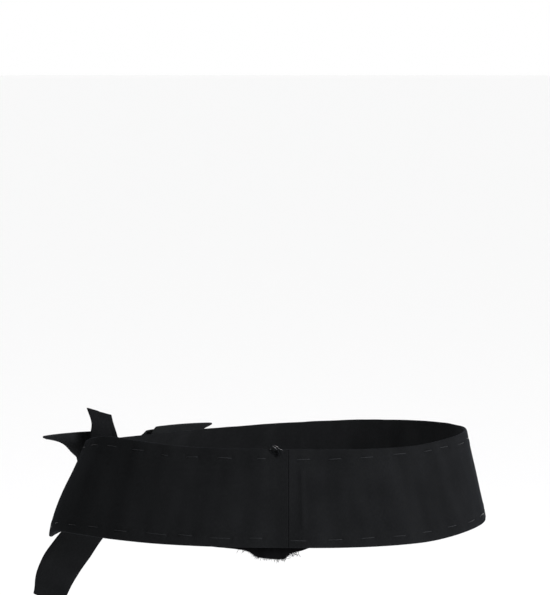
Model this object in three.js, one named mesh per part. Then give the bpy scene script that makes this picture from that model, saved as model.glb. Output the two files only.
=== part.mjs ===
// A wide waist belt of stiff black cloth. One strip goes round the waist, and its two ends meet at the
// centre back over an underlap with a hidden hook bar. A large bow of two loops, two tails and a knot
// is sewn to the band at the wearer's front left.
// X points to the wearer's right, Y to the wearer's front and Z up, in millimetres. The origin is in
// the middle of the waist opening, halfway up the band at the back.
import * as THREE from "three";

// The band, outside sizes.
const BAND_HEIGHT = 62; // measured level, at the centre back
const BAND_WALL = 2.2;
const TOP_WIDTH = 257;
const TOP_DEPTH = 180;
const BOTTOM_WIDTH = 296;
const BOTTOM_DEPTH = 212;
const BACK_POWER = 2.3; // 2 is an ellipse, and more is squarer
const FRONT_POWER = 2.05;
const HIP_SHIFT = 3; // the top edge lies this far to the wearer's right, and the bottom edge to the left
const EDGE_WAVE = 10; // how far the band dips where the bow pulls it down
const SIDE_SWELL = 3; // how far the band bulges over the left hip

// The back seam and what lies behind it.
const SEAM_SIDE = 10.6; // from the middle to the wearer's right
const SEAM_GAP = 0.4;
const CLEARANCE = 0.4; // between pieces that are sewn face to face
const UNDERLAP_WALL = 1.2;
const UNDERLAP_TO_LEFT = 62; // length from the seam to the wearer's left
const UNDERLAP_TO_RIGHT = 16.5;
const UNDERLAP_DROP = 6.5; // how far its raw corner hangs below the band
const HOOK_BAR_WIDTH = 9;
const HOOK_BAR_HEIGHT = 40;
const HOOK_BAR_WALL = 1;
const HOOK_BAR_INSET = 3; // from the seam

// The bow, in its own frame: reach to the wearer's left, rise up the band, and stand off the band.
const KNOT_TURN = 235; // degrees round the band from the centre back
const BOW_BEND = 220; // radius of the cylinder that the bow is bent to
const BOW_WALL = 1.4;
const KNOT_LENGTH = 22;
const KNOT_HALF_HEIGHT = 17;
const KNOT_DEPTH = 16.5;
const KNOT_WALL = 1.6;
const KNOT_FOLD = 0.5;
const KNOT_FOLDS = 3;
const KNOT_NARROWING = 0.12; // how much smaller its section is at its ends
const KNOT_SQUARENESS = 3; // 2 is an ellipse, and more is squarer
const LOOP_HALF_WIDTH = 24.5;
const LOOP_FLARE = 0.14; // how much further a loop widens for each millimetre of reach
const LOOP_ROOT_HALF_WIDTH = 9;
const LOOP_LEFT_REACH = 67.5;
const LOOP_RIGHT_REACH = 64;
const LOOP_FULLNESS = 18; // half the gap between the plies, before the ends close it
const LOOP_OPENING = 11; // length over which a loop opens and widens as it leaves the knot
const LOOP_ROOT_REACH = 0.6; // from the knot's middle to the loop's raw edges
const LOOP_EXIT = 0.6; // how far past the knot a loop stays narrow
const LOOP_ROOT_HALF_GAP = 2;
const LOOP_RISE = 8.5; // how much further off the band the loops stand than their roots
const LOOP_STAGGER = 5; // how far the ply next to the band lies above a loop's middle, and the other below
const PLEAT_DEPTH = 1.3;
const PLEAT_TURNS = 1.25; // pleats from the middle of the ribbon to its edge
const UPPER_TAIL_REACH = 42;
const UPPER_TAIL_RISE = 56;
const LOWER_TAIL_REACH = 60;
const LOWER_TAIL_DROP = 104;
const TAIL_LIFT = 10; // the most that a tail leans off the band

// Heights of the band's edges round the waist, as shares of EDGE_WAVE, and its bulge, of SIDE_SWELL.
const BAND_STATIONS = [
  { turn: 0, top: 0, bottom: 0, swell: 0 },
  { turn: 50, top: -0.08, bottom: -0.05, swell: 0 },
  { turn: 72, top: 0.2, bottom: 0.28, swell: 0.1 },
  { turn: 90, top: 0.22, bottom: 0.34, swell: 0.15 },
  { turn: 130, top: 0, bottom: 0.05, swell: 0.2 },
  { turn: 180, top: -0.5, bottom: -0.45, swell: 0.4 },
  { turn: 235, top: -1, bottom: -1, swell: 0.9 },
  { turn: 258, top: -0.9, bottom: -1.1, swell: 1 },
  { turn: 272, top: -0.5, bottom: -0.9, swell: 1 },
  { turn: 284, top: 0, bottom: -0.08, swell: 0.9 },
  { turn: 294, top: 0.36, bottom: 0.16, swell: 0.6 },
  { turn: 306, top: 0.3, bottom: 0.19, swell: 0.3 },
  { turn: 325, top: 0.08, bottom: 0.1, swell: 0.1 },
];

// A loop's outline and fullness from its lower edge (-1) to its upper edge (1), as shares of its
// reach and of LOOP_FULLNESS. The left loop's upper corner is drawn out to a point.
const LOOP_STATIONS = [
  { across: -1, left: 0.58, right: 0.95, full: 0.7 },
  { across: -0.7, left: 0.52, right: 0.84, full: 0.8 },
  { across: -0.35, left: 0.43, right: 0.75, full: 1 },
  { across: 0, left: 0.385, right: 0.72, full: 1 },
  { across: 0.28, left: 0.425, right: 0.73, full: 1 },
  { across: 0.5, left: 0.53, right: 0.77, full: 0.92 },
  { across: 0.74, left: 0.655, right: 0.85, full: 0.7 },
  { across: 0.88, left: 0.79, right: 0.92, full: 0.45 },
  { across: 1, left: 1, right: 1, full: 0.3 },
];

// The tails from root to tip: both edges as shares of the tail's reach and of its rise or drop, and
// the lift as a share of TAIL_LIFT.
const UPPER_TAIL_STATIONS = [
  { along: 0, outerReach: 0.2, outerRise: 0.06, innerReach: -0.1, innerRise: 0.09, lift: 0 },
  { along: 0.3, outerReach: 0.62, outerRise: 0.34, innerReach: 0.08, innerRise: 0.24, lift: 0 },
  { along: 0.55, outerReach: 0.91, outerRise: 0.6, innerReach: 0.28, innerRise: 0.46, lift: 0.05 },
  { along: 0.8, outerReach: 0.93, outerRise: 0.82, innerReach: 0.4, innerRise: 0.67, lift: 0.3 },
  { along: 1, outerReach: 1, outerRise: 1, innerReach: 0.45, innerRise: 0.84, lift: 0.75 },
];
const LOWER_TAIL_STATIONS = [
  { along: 0, outerReach: 0.15, outerRise: -0.03, innerReach: -0.09, innerRise: -0.05, lift: 0 },
  { along: 0.16, outerReach: 0.42, outerRise: -0.17, innerReach: -0.03, innerRise: -0.25, lift: 0.02 },
  { along: 0.34, outerReach: 0.71, outerRise: -0.33, innerReach: 0.09, innerRise: -0.44, lift: 0.1 },
  { along: 0.52, outerReach: 0.915, outerRise: -0.48, innerReach: 0.22, innerRise: -0.61, lift: 0.25 },
  { along: 0.68, outerReach: 0.985, outerRise: -0.6, innerReach: 0.33, innerRise: -0.75, lift: 0.35 },
  { along: 0.84, outerReach: 1, outerRise: -0.71, innerReach: 0.42, innerRise: -0.88, lift: 0.4 },
  { along: 1, outerReach: 0.98, outerRise: -0.83, innerReach: 0.5, innerRise: -1, lift: 0.4 },
];

// The underlap's lower and upper edges, as shares of the half height of the band. The lower edge
// also drops by a share of UNDERLAP_DROP, and the depth is the share of the hook bar that it clears.
const UNDERLAP_STATIONS = [
  { along: 0, lower: -0.96, drop: 0, upper: 0.66, depth: 0.06 },
  { along: 0.09, lower: -1, drop: 0.2, upper: 0.7, depth: 0.08 },
  { along: 0.195, lower: -1, drop: 0.5, upper: 0.72, depth: 1 },
  { along: 0.24, lower: -1, drop: 1, upper: 0.74, depth: 1 },
  { along: 0.465, lower: -1, drop: 0.86, upper: 0.76, depth: 1 },
  { along: 0.53, lower: -1, drop: 0.4, upper: 0.76, depth: 1 },
  { along: 0.61, lower: -1, drop: 0.16, upper: 0.76, depth: 1 },
  { along: 1, lower: -0.97, drop: 0, upper: 0.76, depth: 1 },
];

// Mesh steps.
const BAND_TURN_STEPS = 84;
const BAND_HEIGHT_STEPS = 5;
const LOOP_STEPS = 24;
const LOOP_ROOT_SHARE = 1 / 6; // of the steps from a loop's end to its root
const LOOP_COLUMNS = 14;
const TAIL_STEPS = 16;
const TAIL_COLUMNS = 5;
const KNOT_STEPS = 28;
const KNOT_COLUMNS = 9;
const UNDERLAP_STEPS = 24;
const DIFFERENCE = 1e-3; // for slopes and normals
const BULGE_SCALE = 27 / 4; // makes height * (1 - height) ** 2 peak at 1, a third of the way up

const CLOTH = { color: 0x1c1d1f, roughness: 0.9, metalness: 0 };
const UNDERLAP_CLOTH = { color: 0x101012, roughness: 0.95, metalness: 0 };
const HOOK_METAL = { color: 0x1a1a1c, roughness: 0.5, metalness: 0.6 };

// A smooth curve through one column of a table, at x on the table's key column.
function along(table, key, column, x, period = 0) {
  const last = table.length - 1;
  const row = (i) => {
    if (!period) return table[Math.min(Math.max(i, 0), last)];
    const turns = Math.floor(i / table.length);
    const found = table[i - turns * table.length];
    return { ...found, [key]: found[key] + turns * period };
  };
  const at = period ? x - Math.floor(x / period) * period : x;
  let i = 0;
  while (i < last && table[i + 1][key] <= at) i++;
  if (!period) i = Math.min(i, last - 1);
  const [before, from, to, after] = [row(i - 1), row(i), row(i + 1), row(i + 2)];
  const span = to[key] - from[key];
  const slope = (a, b) => ((b[column] - a[column]) / (b[key] - a[key])) * span;
  const t = THREE.MathUtils.clamp((at - from[key]) / span, 0, 1);
  const [p, q] = [from[column], to[column]];
  const [m, n] = [slope(before, to), slope(from, after)];
  return (2 * t ** 3 - 3 * t ** 2 + 1) * p + (t ** 3 - 2 * t ** 2 + t) * m
    + (3 * t ** 2 - 2 * t ** 3) * q + (t ** 3 - t ** 2) * n;
}

const steps = (count, from, to) =>
  Array.from({ length: count + 1 }, (_, i) => from + ((to - from) * i) / count);

// The unit normal of a surface given as a function of two parameters.
function normalOf(surface, u, v) {
  const du = surface(u + DIFFERENCE, v).sub(surface(u - DIFFERENCE, v));
  const dv = surface(u, v + DIFFERENCE).sub(surface(u, v - DIFFERENCE));
  return du.cross(dv).normalize();
}

// The closed solid through a list of sections, each a list of points up one side of a wall and back
// down the other. A ring joins its last section to its first, and other lofts get flat ends.
function loft(sections, ring = false) {
  const count = sections[0].length;
  const spans = ring ? sections.length : sections.length - 1;
  const index = [];
  for (let i = 0; i < spans; i++) {
    for (let j = 0; j < count; j++) {
      const a = i * count + j;
      const b = i * count + ((j + 1) % count);
      const next = ((i + 1) % sections.length) * count;
      const c = next + j;
      const d = next + ((j + 1) % count);
      index.push(a, b, d, a, d, c);
    }
  }
  if (!ring) {
    const end = spans * count;
    for (let j = 0; j < count / 2 - 1; j++) {
      const k = count - 1 - j;
      index.push(j, k, k - 1, j, k - 1, j + 1);
      index.push(end + j, end + k - 1, end + k, end + j, end + j + 1, end + k - 1);
    }
  }
  const points = sections.flat();
  const corner = (i) => points[index[i]];
  let volume = 0;
  for (let i = 0; i < index.length; i += 3)
    volume += corner(i).dot(corner(i + 1).clone().cross(corner(i + 2)));
  if (volume < 0) index.reverse();
  return new THREE.BufferGeometry().setFromPoints(points).setIndex(index);
}

// A cloth wall on a surface, between two offsets along the surface's normal.
function cloth(surface, rows, columns, low, high, ring = false) {
  const offset = (u, v, by) => surface(u, v).addScaledVector(normalOf(surface, u, v), by);
  const sections = rows.map((u) => [
    ...columns.map((v) => offset(u, v, high)),
    ...columns.map((v) => offset(u, v, low)).reverse(),
  ]);
  return loft(sections, ring);
}

function named(name, geometry, finish) {
  const mesh = new THREE.Mesh(geometry, new THREE.MeshStandardMaterial(finish));
  mesh.name = name;
  return mesh;
}

// The band's outer surface: turn in degrees from the centre back towards the wearer's right, and
// height from 0 at the lower edge to 1 at the upper edge.
function ringPoint(turn, width, depth, shift, z) {
  const angle = THREE.MathUtils.degToRad(turn);
  const power = (BACK_POWER + FRONT_POWER) / 2 + ((BACK_POWER - FRONT_POWER) / 2) * Math.cos(angle);
  const across = Math.abs(Math.sin(angle) / (width / 2)) ** power;
  const through = Math.abs(Math.cos(angle) / (depth / 2)) ** power;
  const radius = (across + through) ** (-1 / power);
  return new THREE.Vector3(radius * Math.sin(angle) + shift, -radius * Math.cos(angle), z);
}

function bandSurface(turn, height) {
  const station = (column) => along(BAND_STATIONS, "turn", column, turn, 360);
  const half = BAND_HEIGHT / 2;
  const top = ringPoint(turn, TOP_WIDTH, TOP_DEPTH, HIP_SHIFT, half + EDGE_WAVE * station("top"));
  const bottom = ringPoint(
    turn, BOTTOM_WIDTH, BOTTOM_DEPTH, -HIP_SHIFT, -half + EDGE_WAVE * station("bottom"));
  const bulge = BULGE_SCALE * height * (1 - height) ** 2;
  const swell = SIDE_SWELL * station("swell") * bulge;
  const outwards = new THREE.Vector3(top.x, top.y, 0).normalize();
  return bottom.lerp(top, height).addScaledVector(outwards, swell);
}

const bandNormal = (turn, height) => normalOf(bandSurface, turn, height);

// The turn at which the band's back, at a height, lies a given way to the wearer's right of the middle.
function backTurn(side, height) {
  const { lerp, radToDeg } = THREE.MathUtils;
  const shift = lerp(-HIP_SHIFT, HIP_SHIFT, height);
  return radToDeg(Math.atan2(side - shift, lerp(BOTTOM_DEPTH, TOP_DEPTH, height) / 2));
}

// The band is open from edge to edge at an upright seam.
function band() {
  const surface = (share, height) => {
    const start = backTurn(SEAM_SIDE + SEAM_GAP / 2, height);
    const end = backTurn(SEAM_SIDE - SEAM_GAP / 2, height) + 360;
    return bandSurface(THREE.MathUtils.lerp(start, end, share), height);
  };
  return cloth(surface, steps(BAND_TURN_STEPS, 0, 1), steps(BAND_HEIGHT_STEPS, 0, 1), -BAND_WALL, 0);
}

// Behind the seam: a cloth tongue that the right end carries, and the bar that the left end hooks to.
const HOOK_BAR_DEPTH = BAND_WALL + CLEARANCE + HOOK_BAR_WALL / 2;

function underlap() {
  const length = UNDERLAP_TO_RIGHT + UNDERLAP_TO_LEFT;
  const shallow = BAND_WALL + CLEARANCE + UNDERLAP_WALL / 2;
  const behindBar = HOOK_BAR_WALL + CLEARANCE;
  const surface = (share, rise) => {
    const station = (column) => along(UNDERLAP_STATIONS, "along", column, share);
    const lower = station("lower") - (UNDERLAP_DROP * station("drop")) / (BAND_HEIGHT / 2);
    const height = 0.5 + THREE.MathUtils.lerp(lower, station("upper"), rise) / 2;
    const turn = backTurn(SEAM_SIDE + UNDERLAP_TO_RIGHT - length * share, height);
    const depth = shallow + behindBar * station("depth");
    return bandSurface(turn, height).addScaledVector(bandNormal(turn, height), -depth);
  };
  const half = UNDERLAP_WALL / 2;
  return cloth(surface, steps(UNDERLAP_STEPS, 0, 1), steps(4, 0, 1), -half, half);
}

function hookBar() {
  const surface = (share, rise) => {
    const height = 0.5 + ((rise - 0.5) * HOOK_BAR_HEIGHT) / BAND_HEIGHT;
    const turn = backTurn(SEAM_SIDE - HOOK_BAR_INSET - HOOK_BAR_WIDTH * share, height);
    return bandSurface(turn, height).addScaledVector(bandNormal(turn, height), -HOOK_BAR_DEPTH);
  };
  const half = HOOK_BAR_WALL / 2;
  return cloth(surface, steps(2, 0, 1), steps(2, 0, 1), -half, half);
}

// The bow's frame at the middle of the knot.
const knotOrigin = bandSurface(KNOT_TURN, 0.5);
const outAxis = bandNormal(KNOT_TURN, 0.5);
const leftAxis = bandSurface(KNOT_TURN + DIFFERENCE, 0.5).sub(knotOrigin).setZ(0).normalize();
const upAxis = leftAxis.clone().cross(outAxis).normalize();
if (upAxis.z < 0) upAxis.negate();

function bowPoint(reach, rise, off) {
  const angle = reach / BOW_BEND;
  const radius = BOW_BEND + off;
  return knotOrigin.clone()
    .addScaledVector(outAxis, radius * Math.cos(angle) - BOW_BEND)
    .addScaledVector(leftAxis, radius * Math.sin(angle))
    .addScaledVector(upAxis, rise);
}

const TAIL_OFF = CLEARANCE + BOW_WALL / 2;
const KNOT_BACK = CLEARANCE + BOW_WALL + CLEARANCE;
const LOOP_ROOT_OFF = KNOT_BACK + KNOT_DEPTH / 2 - KNOT_WALL / 2;

// A loop: a ribbon that leaves the knot on the outside, folds over and comes back on the inside. fold
// runs from -1 at the inner root through 0 at the outer end to 1 at the outer root, and its last part
// at either root lies inside the knot.
function loopSurface(side, column, reach) {
  const { clamp, smoothstep, lerp } = THREE.MathUtils;
  const exit = KNOT_LENGTH / 2 + LOOP_EXIT;
  return (fold, across) => {
    const station = (name) => along(LOOP_STATIONS, "across", name, across);
    const free = 1 - LOOP_ROOT_SHARE;
    const bent = Math.min(Math.abs(fold) / free, 1);
    const inside = clamp((Math.abs(fold) - free) / LOOP_ROOT_SHARE, 0, 1);
    const length = reach * station(column) - exit;
    const distance = exit - (exit - LOOP_ROOT_REACH) * inside + length * (1 - bent * bent);
    const spread = smoothstep(distance, exit, exit + LOOP_OPENING);
    const halfWidth = lerp(LOOP_ROOT_HALF_WIDTH, LOOP_HALF_WIDTH, spread);
    const stagger = -Math.sign(fold) * bent * spread * LOOP_STAGGER;
    const rise = across * (halfWidth + LOOP_FLARE * spread * distance) + stagger;
    const fullness = LOOP_FULLNESS * station("full");
    const halfGap = Math.sign(fold) * bent * lerp(LOOP_ROOT_HALF_GAP, fullness, spread);
    const pleat = PLEAT_DEPTH * Math.cos(2 * Math.PI * PLEAT_TURNS * across) * (1 - spread);
    const off = LOOP_ROOT_OFF + LOOP_RISE * spread + halfGap + pleat;
    return bowPoint(side * distance, rise, off);
  };
}

function loop(side, column, reach) {
  const half = BOW_WALL / 2;
  const folds = steps(LOOP_STEPS, -1, 1);
  const columns = steps(LOOP_COLUMNS, -1, 1).map((v) => Math.sin((v * Math.PI) / 2));
  return cloth(loopSurface(side, column, reach), folds, columns, -half, half);
}

function tail(stations, reach, rise) {
  const { lerp } = THREE.MathUtils;
  const surface = (share, across) => {
    const station = (name) => along(stations, "along", name, share);
    return bowPoint(
      reach * lerp(station("innerReach"), station("outerReach"), across),
      rise * lerp(station("innerRise"), station("outerRise"), across),
      TAIL_OFF + TAIL_LIFT * station("lift"),
    );
  };
  const half = BOW_WALL / 2;
  return cloth(surface, steps(TAIL_STEPS, 0, 1), steps(TAIL_COLUMNS, 0, 1), -half, half);
}

// The knot: a folded ribbon wrapped round the roots of the loops.
function knot() {
  const power = (value) => Math.sign(value) * Math.abs(value) ** (2 / KNOT_SQUARENESS);
  const surface = (turn, side) => {
    const angle = turn * 2 * Math.PI;
    const narrowing = 1 - KNOT_NARROWING * side * side;
    const fold = KNOT_FOLD * Math.cos(Math.PI * KNOT_FOLDS * side) * (1 + Math.sin(angle)) / 2;
    const rise = KNOT_HALF_HEIGHT * narrowing * power(Math.cos(angle));
    const off = KNOT_BACK + (KNOT_DEPTH / 2) * narrowing * (1 + power(Math.sin(angle))) + fold;
    return bowPoint((side * KNOT_LENGTH) / 2, rise, off);
  };
  const turns = steps(KNOT_STEPS - 1, 0.5 / KNOT_STEPS, 1 - 0.5 / KNOT_STEPS);
  return cloth(surface, turns, steps(KNOT_COLUMNS, -1, 1), -KNOT_WALL, 0, true);
}

const belt = new THREE.Group();
belt.add(
  named("band", band(), CLOTH),
  named("underlap", underlap(), UNDERLAP_CLOTH),
  named("hook_bar", hookBar(), HOOK_METAL),
  named("bow_loop_left", loop(1, "left", LOOP_LEFT_REACH), CLOTH),
  named("bow_loop_right", loop(-1, "right", LOOP_RIGHT_REACH), CLOTH),
  named("bow_tail_upper", tail(UPPER_TAIL_STATIONS, UPPER_TAIL_REACH, UPPER_TAIL_RISE), CLOTH),
  named("bow_tail_lower", tail(LOWER_TAIL_STATIONS, LOWER_TAIL_REACH, LOWER_TAIL_DROP), CLOTH),
  named("bow_knot", knot(), CLOTH),
);

export default belt;
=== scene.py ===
"""A wide waist belt of stiff black cloth with a large bow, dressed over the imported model.

Lengths in the tables and surfaces are millimetres, as in the model's source. Blender gets metres.
"""

import math

import bpy
import numpy as np
from mathutils import Euler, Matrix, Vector


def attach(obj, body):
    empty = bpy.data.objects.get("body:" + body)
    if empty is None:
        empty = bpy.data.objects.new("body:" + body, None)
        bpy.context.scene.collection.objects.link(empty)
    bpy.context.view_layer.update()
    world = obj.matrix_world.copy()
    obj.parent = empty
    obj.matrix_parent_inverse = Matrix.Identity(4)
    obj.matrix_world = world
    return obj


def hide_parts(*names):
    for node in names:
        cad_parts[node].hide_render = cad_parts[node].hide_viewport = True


METRES = 0.001

# The band, as in the model.
BAND_HEIGHT = 62
BAND_WALL = 2.2
TOP_WIDTH = 257
TOP_DEPTH = 180
BOTTOM_WIDTH = 296
BOTTOM_DEPTH = 212
BACK_POWER = 2.3
FRONT_POWER = 2.05
HIP_SHIFT = 3
EDGE_WAVE = 10
SIDE_SWELL = 3
BULGE_SCALE = 27 / 4  # brings the bulge's greatest height to 1
SEAM_SIDE = 10.6
SEAM_SLIT = 0.06  # the panels' round edges almost touch
CLEARANCE = 0.4
UNDERLAP_WALL = 1.2
UNDERLAP_TO_LEFT = 62
UNDERLAP_TO_RIGHT = 16.5
UNDERLAP_DROP = 6.5
HOOK_BAR_WALL = 1
# turn in degrees, then the top edge, bottom edge and bulge as shares
BAND_STATIONS = np.array([
    (0, 0, 0, 0),
    (50, -0.08, -0.05, 0),
    (72, 0.2, 0.28, 0.1),
    (90, 0.22, 0.34, 0.15),
    (130, 0, 0.05, 0.2),
    (180, -0.5, -0.45, 0.4),
    (235, -1, -1, 0.9),
    (258, -0.9, -1.1, 1),
    (272, -0.5, -0.9, 1),
    (284, 0, -0.08, 0.9),
    (294, 0.36, 0.16, 0.6),
    (306, 0.3, 0.19, 0.3),
    (325, 0.08, 0.1, 0.1),
])
TOP, BOTTOM, SWELL = 1, 2, 3

# The bow, as in the model.
KNOT_TURN = 235
BOW_BEND = 220
BOW_WALL = 1.4
KNOT_LENGTH = 22
KNOT_HALF_HEIGHT = 17
KNOT_DEPTH = 16.5
KNOT_WALL = 1.6
KNOT_NARROWING = 0.12
KNOT_SQUARENESS = 3
LOOP_HALF_WIDTH = 24.5
LOOP_FLARE = 0.14
LOOP_ROOT_HALF_WIDTH = 9
LOOP_LEFT_REACH = 67.5
LOOP_RIGHT_REACH = 64
LOOP_FULLNESS = 18
LOOP_OPENING = 11
LOOP_ROOT_REACH = 0.6
LOOP_EXIT = 0.6
LOOP_ROOT_HALF_GAP = 2
LOOP_ROOT_SHARE = 1 / 6
LOOP_RISE = 8.5
LOOP_STAGGER = 5
PLEAT_DEPTH = 1.3
PLEAT_TURNS = 1.25
UPPER_TAIL_REACH = 42
UPPER_TAIL_RISE = 56
LOWER_TAIL_REACH = 60
LOWER_TAIL_DROP = 104
TAIL_LIFT = 10
# across the ribbon, then the left reach, right reach and fullness as shares
LOOP_STATIONS = np.array([
    (-1, 0.58, 0.95, 0.7),
    (-0.7, 0.52, 0.84, 0.8),
    (-0.35, 0.43, 0.75, 1),
    (0, 0.385, 0.72, 1),
    (0.28, 0.425, 0.73, 1),
    (0.5, 0.53, 0.77, 0.92),
    (0.74, 0.655, 0.85, 0.7),
    (0.88, 0.79, 0.92, 0.45),
    (1, 1, 1, 0.3),
])
LEFT, RIGHT, FULL = 1, 2, 3
# along the tail, then outer reach and rise, inner reach and rise, and lift, as shares
UPPER_TAIL_STATIONS = np.array([
    (0, 0.2, 0.06, -0.1, 0.09, 0),
    (0.3, 0.62, 0.34, 0.08, 0.24, 0),
    (0.55, 0.91, 0.6, 0.28, 0.46, 0.05),
    (0.8, 0.93, 0.82, 0.4, 0.67, 0.3),
    (1, 1, 1, 0.45, 0.84, 0.75),
])
LOWER_TAIL_STATIONS = np.array([
    (0, 0.15, -0.03, -0.09, -0.05, 0),
    (0.16, 0.42, -0.17, -0.03, -0.25, 0.02),
    (0.34, 0.71, -0.33, 0.09, -0.44, 0.1),
    (0.52, 0.915, -0.48, 0.22, -0.61, 0.25),
    (0.68, 0.985, -0.6, 0.33, -0.75, 0.35),
    (0.84, 1, -0.71, 0.42, -0.88, 0.4),
    (1, 0.98, -0.83, 0.5, -1, 0.4),
])
OUTER_REACH, OUTER_RISE, INNER_REACH, INNER_RISE, LIFT = 1, 2, 3, 4, 5
# along the underlap, then its lower edge, drop, upper edge and depth, as shares
UNDERLAP_STATIONS = np.array([
    (0, -0.96, 0, 0.66, 0.06),
    (0.09, -1, 0.2, 0.7, 0.08),
    (0.195, -1, 0.5, 0.72, 1),
    (0.24, -1, 1, 0.74, 1),
    (0.465, -1, 0.86, 0.76, 1),
    (0.53, -1, 0.4, 0.76, 1),
    (0.61, -1, 0.16, 0.76, 1),
    (1, -0.97, 0, 0.76, 1),
])
LOWER, DROP, UPPER, DEPTH = 1, 2, 3, 4

# The basting stitches at the back: from and to along the band from the seam, and how far each one
# lies above the row. The ends are pixels read in the photo by eye, which another program turned into
# distances and rounded. The rest of each row goes on round the band at an even pitch.
TOP_STITCHES = [
    (-84, -79.5, -1),
    (-67, -59, -0.7),
    (-47, -36.5, -0.3),
    (-20.5, -14.5, -0.4),
    (5, 14, -0.7),
    (26, 34.5, -0.3),
    (47, 56.5, 0.4),
    (70, 80.5, 1.5),
    (94.5, 101.5, 1.1),
    (109, 118, 1.1),
]
BOTTOM_STITCHES = [
    (-94.5, -79.5, 0.3),
    (-72, -62.5, 0.6),
    (-51.5, -37, -0.4),
    (-26, -16.5, 0.1),
    (0.5, 12, -1.3),
    (25, 35, -0.8),
    (47, 57, -0.2),
    (69.5, 79, -0.1),
    (91.5, 99.5, 0.6),
    (114, 122.5, 0.6),
]
STITCH_PITCH = 22.6
STITCH_LENGTH = 9.6
STITCH_INSET = 5.8  # from the edge of the band
STITCH_LIFT = 0.28  # of its middle line, above the cloth
THREAD_RADIUS = 0.24
FINE_THREAD_RADIUS = 0.2
FRAY_RADIUS = 0.18

# Folds and waves of the band's outer face, and of its lining: wavelength, then height.
BAND_WAVES = [(61, 0.16), (37, 0.13), (23, 0.09), (13, 0.04)]
SLANTED_WAVES = [(29, 0.07), (17, 0.042)]
LINING_WAVES = [(33, 0.12), (19, 0.084), (11, 0.048)]
LINING_LIMIT = 0.25
MIDDLE_SLACK = 0.35  # the share of the waves that the band keeps away from its edges
EDGE_SLACK_REACH = 9
TURNED_EDGE = 10.5  # how far in the band's turned-in edges reach
TURNED_EDGE_STEP = 0.22
# Each row of stitches lies in a groove. The cloth puckers where a stitch goes in or comes out, and
# puffs up a little beyond that.
GROOVE_DEPTH, GROOVE_WIDTH = 0.12, 1.6
PUCKER_DEPTH, PUCKER_LENGTH, PUCKER_WIDTH = 0.42, 1.7, 1.5
PUFF_HEIGHT, PUFF_AT, PUFF_LENGTH, PUFF_WIDTH = 0.1, 3.2, 2.236, 3.2
# At the seam the left panel's folded edge stands proud of the right one.
FOLD_HEIGHT, FOLD_WIDTH = 0.4, 1.2
# The sewn end of the underlap shows as a ridge to the right of the seam, with a dip before it.
RIDGE_AT, RIDGE_WIDTH, RIDGE_HEIGHT = 9.0, 1.5, 0.8
DIP_AT, DIP_WIDTH, DIP_DEPTH = 4.5, 3.0, 0.12
# A diagonal crease near the lower edge: its place from the seam and above the edge, and its slope.
CREASE_ALONG, CREASE_UP, CREASE_SLOPE = 60, 15, math.radians(43.8)
CREASE_DEPTH, CREASE_WIDTH, CREASE_LENGTH = 0.35, 1.1, 8
CREASE_LIP, LIP_AT, LIP_WIDTH = 0.2, 2.2, 1.6
PULL_REACH = 24  # degrees of turn to each side of the knot over which the band is pulled
PULL_HEIGHT, PULL_FOLDS = 0.3, 2.5
HEM = 4.2  # from a ribbon's edge to its line of sewing
SEWING_WIDTH = 0.6
FRAY_FROM, FRAY_TO = 0.11, 0.62  # the raw edge that shows below the band, as shares of the underlap

# Steps of the meshes: the first ones at each end of an evenly divided length, then the even one.
WALL_STEPS = (0.0, 0.12, 0.35, 0.75, 1.3)
SEAM_STEPS = (0.0, 0.08, 0.2, 0.35, 0.7, 1.3)
SEAM_RADIUS = 0.35
BAND_STEP = 1.2
UNDERLAP_STEP = 1.4
# how far from a cloth's edge its painted highlight reaches
HIGHLIGHT_WIDTH = 0.8

SLOPE_STEP = 1e-3


# Shapes.
def curve(table, column, x, period=0.0):
    """A smooth curve through a table's column, at x on its first column."""
    x = np.asarray(x, float)
    keys, values = table[:, 0], table[:, column]
    if period:
        x = x - np.floor(x / period) * period
        keys = np.concatenate([[keys[-1] - period], keys, keys[:2] + period])
        values = np.concatenate([values[-1:], values, values[:2]])
        i = np.clip(np.searchsorted(keys, x, side="right") - 1, 1, len(table))
        before, after = i - 1, i + 2
    else:
        last = len(keys) - 1
        i = np.clip(np.searchsorted(keys, x, side="right") - 1, 0, last - 1)
        before, after = np.maximum(i - 1, 0), np.minimum(i + 2, last)
    span = keys[i + 1] - keys[i]
    t = np.clip((x - keys[i]) / span, 0, 1)
    start = (values[i + 1] - values[before]) / (keys[i + 1] - keys[before]) * span
    end = (values[after] - values[i]) / (keys[after] - keys[i]) * span
    return (
        (2 * t**3 - 3 * t**2 + 1) * values[i]
        + (t**3 - 2 * t**2 + t) * start
        + (3 * t**2 - 2 * t**3) * values[i + 1]
        + (t**3 - t**2) * end
    )


def smoothstep(x, low, high):
    t = np.clip((x - low) / (high - low), 0, 1)
    return t * t * (3 - 2 * t)


def lerp(a, b, t):
    return a + (b - a) * t


def hump(x, middle, width):
    """A soft ridge of height 1."""
    return np.exp(-(((x - middle) / width) ** 2))


def ripples(x, waves, seed):
    """A sum of sines along x, from (wavelength, height) pairs."""
    phases = np.random.RandomState(seed).uniform(0, 2 * math.pi, len(waves))
    return sum(h * np.sin(2 * math.pi * x / w + p) for (w, h), p in zip(waves, phases))


def ring_point(turn, width, depth, shift, z):
    angle = np.radians(turn)
    power = (BACK_POWER + FRONT_POWER) / 2 + (BACK_POWER - FRONT_POWER) / 2 * np.cos(angle)
    across = np.abs(np.sin(angle) / (width / 2)) ** power
    through = np.abs(np.cos(angle) / (depth / 2)) ** power
    radius = (across + through) ** (-1 / power)
    return np.stack([radius * np.sin(angle) + shift, -radius * np.cos(angle), z + 0 * angle], -1)


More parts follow.
